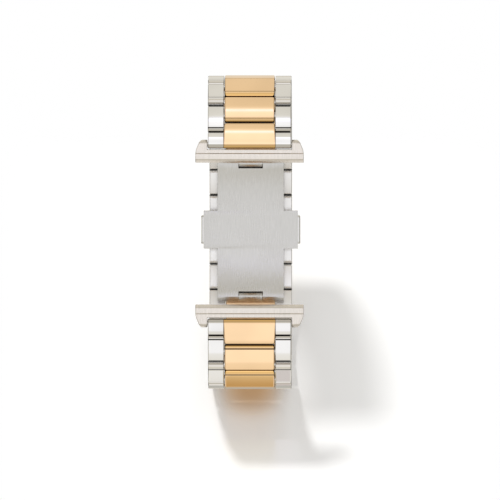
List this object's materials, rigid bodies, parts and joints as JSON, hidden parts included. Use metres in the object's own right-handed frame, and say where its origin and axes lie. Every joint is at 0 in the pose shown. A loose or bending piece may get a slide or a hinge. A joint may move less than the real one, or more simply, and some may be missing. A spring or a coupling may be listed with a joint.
{
  "type": "link watch bracelet",
  "caption": "Two-tone link watch bracelet with hinged rows of a wide centre link between narrow outer links, slide-in lug adapters and a butterfly clasp with push buttons.",
  "frame": {"origin": "centre of the bounding box in X and Y, at the level surface that the closed bracelet lies on with its side down", "axes": "+Z runs across the band, along every hinge's axis; +X points to the twelve o'clock half; -Y is the gap for the watch and +Y the clasp"},
  "size_m": [0.0758, 0.0446, 0.026],
  "materials": {
    "gold": "mirror polished gold tone",
    "steel": "mirror polished steel",
    "clasp_steel": "fine brushed steel",
    "spring_steel": "plain spring steel"
  },
  "bodies": {
    "clasp": {"clasp_plate": "clasp_steel", "wing_hinge_pins": "clasp_steel", "upper_button_spring": "spring_steel", "lower_button_spring": "spring_steel"},
    "upper_button": {"upper_button": "clasp_steel"},
    "lower_button": {"lower_button": "clasp_steel"},
    "twelve_wing": {"twelve_wing": "clasp_steel"},
    "twelve_row_12": {"twelve_centre_link_12": "gold", "twelve_outer_links_12": "steel"},
    "twelve_row_11": {"twelve_centre_link_11": "gold", "twelve_outer_links_11": "steel"},
    "twelve_row_10": {"twelve_centre_link_10": "gold", "twelve_outer_links_10": "steel"},
    "twelve_row_09": {"twelve_centre_link_09": "gold", "twelve_outer_links_09": "steel"},
    "twelve_row_08": {"twelve_centre_link_08": "gold", "twelve_outer_links_08": "steel"},
    "twelve_row_07": {"twelve_centre_link_07": "gold", "twelve_outer_links_07": "steel"},
    "twelve_row_06": {"twelve_centre_link_06": "gold", "twelve_outer_links_06": "steel"},
    "twelve_row_05": {"twelve_centre_link_05": "gold", "twelve_outer_links_05": "steel"},
    "twelve_row_04": {"twelve_centre_link_04": "gold", "twelve_outer_links_04": "steel"},
    "twelve_row_03": {"twelve_centre_link_03": "gold", "twelve_outer_links_03": "steel"},
    "twelve_row_02": {"twelve_centre_link_02": "gold", "twelve_outer_links_02": "steel"},
    "twelve_row_01": {"twelve_centre_link_01": "gold", "twelve_outer_links_01": "steel"},
    "twelve_lug": {"twelve_adapter": "steel", "twelve_adapter_bar": "spring_steel"},
    "six_wing": {"six_wing": "clasp_steel"},
    "six_row_12": {"six_centre_link_12": "gold", "six_outer_links_12": "steel"},
    "six_row_11": {"six_centre_link_11": "gold", "six_outer_links_11": "steel"},
    "six_row_10": {"six_centre_link_10": "gold", "six_outer_links_10": "steel"},
    "six_row_09": {"six_centre_link_09": "gold", "six_outer_links_09": "steel"},
    "six_row_08": {"six_centre_link_08": "gold", "six_outer_links_08": "steel"},
    "six_row_07": {"six_centre_link_07": "gold", "six_outer_links_07": "steel"},
    "six_row_06": {"six_centre_link_06": "gold", "six_outer_links_06": "steel"},
    "six_row_05": {"six_centre_link_05": "gold", "six_outer_links_05": "steel"},
    "six_row_04": {"six_centre_link_04": "gold", "six_outer_links_04": "steel"},
    "six_row_03": {"six_centre_link_03": "gold", "six_outer_links_03": "steel"},
    "six_row_02": {"six_centre_link_02": "gold", "six_outer_links_02": "steel"},
    "six_row_01": {"six_centre_link_01": "gold", "six_outer_links_01": "steel"},
    "six_lug": {"six_adapter": "steel", "six_adapter_bar": "spring_steel"}
  },
  "joints": [
    {"name": "twelve_wing_hinge", "type": "hinge", "parent": "clasp", "child": "twelve_wing", "pos_m": [0.0162, 0.01567, 0.013], "axis": [0, 0, -1], "range_deg": [0, 165]},
    {"name": "twelve_clasp_pin", "type": "hinge", "parent": "twelve_wing", "child": "twelve_row_12", "pos_m": [0.0012, 0.02047, 0.013], "axis": [0, 0, -1], "range_deg": [-165, 0]},
    {"name": "twelve_hinge_12", "type": "hinge", "parent": "twelve_row_12", "child": "twelve_row_11", "pos_m": [0.00748, 0.02001, 0.013], "axis": [0, 0, 1], "range_deg": [-0.5, 8.02]},
    {"name": "twelve_hinge_11", "type": "hinge", "parent": "twelve_row_11", "child": "twelve_row_10", "pos_m": [0.01368, 0.0189, 0.013], "axis": [0, 0, -1], "range_deg": [-8.02, 0.5]},
    {"name": "twelve_hinge_10", "type": "hinge", "parent": "twelve_row_10", "child": "twelve_row_09", "pos_m": [0.01973, 0.01714, 0.013], "axis": [0, 0, 1], "range_deg": [-20, 13.81]},
    {"name": "twelve_hinge_09", "type": "hinge", "parent": "twelve_row_09", "child": "twelve_row_08", "pos_m": [0.0253, 0.01418, 0.013], "axis": [0, 0, -1], "range_deg": [-16, 34]},
    {"name": "twelve_hinge_08", "type": "hinge", "parent": "twelve_row_08", "child": "twelve_row_07", "pos_m": [0.02998, 0.00997, 0.013], "axis": [0, 0, 1], "range_deg": [-33, 17]},
    {"name": "twelve_hinge_07", "type": "hinge", "parent": "twelve_row_07", "child": "twelve_row_06", "pos_m": [0.03341, 0.00468, 0.013], "axis": [0, 0, -1], "range_deg": [-17, 33]},
    {"name": "twelve_hinge_06", "type": "hinge", "parent": "twelve_row_06", "child": "twelve_row_05", "pos_m": [0.03536, -0.00131, 0.013], "axis": [0, 0, 1], "range_deg": [-36, 14]},
    {"name": "twelve_hinge_05", "type": "hinge", "parent": "twelve_row_05", "child": "twelve_row_04", "pos_m": [0.03602, -0.00757, 0.013], "axis": [0, 0, -1], "range_deg": [-16, 34]},
    {"name": "twelve_hinge_04", "type": "hinge", "parent": "twelve_row_04", "child": "twelve_row_03", "pos_m": [0.03514, -0.01381, 0.013], "axis": [0, 0, 1], "range_deg": [-20, 30]},
    {"name": "twelve_hinge_03", "type": "hinge", "parent": "twelve_row_03", "child": "twelve_row_02", "pos_m": [0.03144, -0.01891, 0.013], "axis": [0, 0, -1], "range_deg": [-46, 4]},
    {"name": "twelve_hinge_02", "type": "hinge", "parent": "twelve_row_02", "child": "twelve_row_01", "pos_m": [0.02523, -0.02, 0.013], "axis": [0, 0, 1], "range_deg": [-46, 4]},
    {"name": "twelve_hinge_01", "type": "hinge", "parent": "twelve_row_01", "child": "twelve_lug", "pos_m": [0.02147, -0.02053, 0.013], "axis": [0, 0, -1], "range_deg": [-10, 35]},
    {"name": "six_wing_hinge", "type": "hinge", "parent": "clasp", "child": "six_wing", "pos_m": [-0.0162, 0.01567, 0.013], "axis": [0, 0, 1], "range_deg": [0, 165]},
    {"name": "six_clasp_pin", "type": "hinge", "parent": "six_wing", "child": "six_row_12", "pos_m": [-0.0012, 0.02047, 0.013], "axis": [0, 0, 1], "range_deg": [-165, 0]},
    {"name": "six_hinge_12", "type": "hinge", "parent": "six_row_12", "child": "six_row_11", "pos_m": [-0.00748, 0.02001, 0.013], "axis": [0, 0, -1], "range_deg": [-0.5, 8.02]},
    {"name": "six_hinge_11", "type": "hinge", "parent": "six_row_11", "child": "six_row_10", "pos_m": [-0.01368, 0.0189, 0.013], "axis": [0, 0, 1], "range_deg": [-8.02, 0.5]},
    {"name": "six_hinge_10", "type": "hinge", "parent": "six_row_10", "child": "six_row_09", "pos_m": [-0.01973, 0.01714, 0.013], "axis": [0, 0, -1], "range_deg": [-20, 13.81]},
    {"name": "six_hinge_09", "type": "hinge", "parent": "six_row_09", "child": "six_row_08", "pos_m": [-0.0253, 0.01418, 0.013], "axis": [0, 0, 1], "range_deg": [-16, 34]},
    {"name": "six_hinge_08", "type": "hinge", "parent": "six_row_08", "child": "six_row_07", "pos_m": [-0.02998, 0.00997, 0.013], "axis": [0, 0, -1], "range_deg": [-33, 17]},
    {"name": "six_hinge_07", "type": "hinge", "parent": "six_row_07", "child": "six_row_06", "pos_m": [-0.03341, 0.00468, 0.013], "axis": [0, 0, 1], "range_deg": [-17, 33]},
    {"name": "six_hinge_06", "type": "hinge", "parent": "six_row_06", "child": "six_row_05", "pos_m": [-0.03536, -0.00131, 0.013], "axis": [0, 0, -1], "range_deg": [-36, 14]},
    {"name": "six_hinge_05", "type": "hinge", "parent": "six_row_05", "child": "six_row_04", "pos_m": [-0.03602, -0.00757, 0.013], "axis": [0, 0, 1], "range_deg": [-16, 34]},
    {"name": "six_hinge_04", "type": "hinge", "parent": "six_row_04", "child": "six_row_03", "pos_m": [-0.03514, -0.01381, 0.013], "axis": [0, 0, -1], "range_deg": [-20, 30]},
    {"name": "six_hinge_03", "type": "hinge", "parent": "six_row_03", "child": "six_row_02", "pos_m": [-0.03144, -0.01891, 0.013], "axis": [0, 0, 1], "range_deg": [-46, 4]},
    {"name": "six_hinge_02", "type": "hinge", "parent": "six_row_02", "child": "six_row_01", "pos_m": [-0.02523, -0.02, 0.013], "axis": [0, 0, -1], "range_deg": [-46, 4]},
    {"name": "six_hinge_01", "type": "hinge", "parent": "six_row_01", "child": "six_lug", "pos_m": [-0.02147, -0.02053, 0.013], "axis": [0, 0, 1], "range_deg": [-10, 35]},
    {"name": "upper_button_press", "type": "slide", "parent": "clasp", "child": "upper_button", "axis": [0, 0, -1], "range_m": [0, 0.0007], "stiffness_N_per_m": 3000, "deforming": ["upper_button_spring"]},
    {"name": "lower_button_press", "type": "slide", "parent": "clasp", "child": "lower_button", "axis": [0, 0, 1], "range_m": [0, 0.0007], "stiffness_N_per_m": 3000, "deforming": ["lower_button_spring"]}
  ],
  "couplings": [
    {"joint": "twelve_clasp_pin", "follows": "twelve_wing_hinge", "ratio": -1},
    {"joint": "six_clasp_pin", "follows": "six_wing_hinge", "ratio": -1}
  ]
}
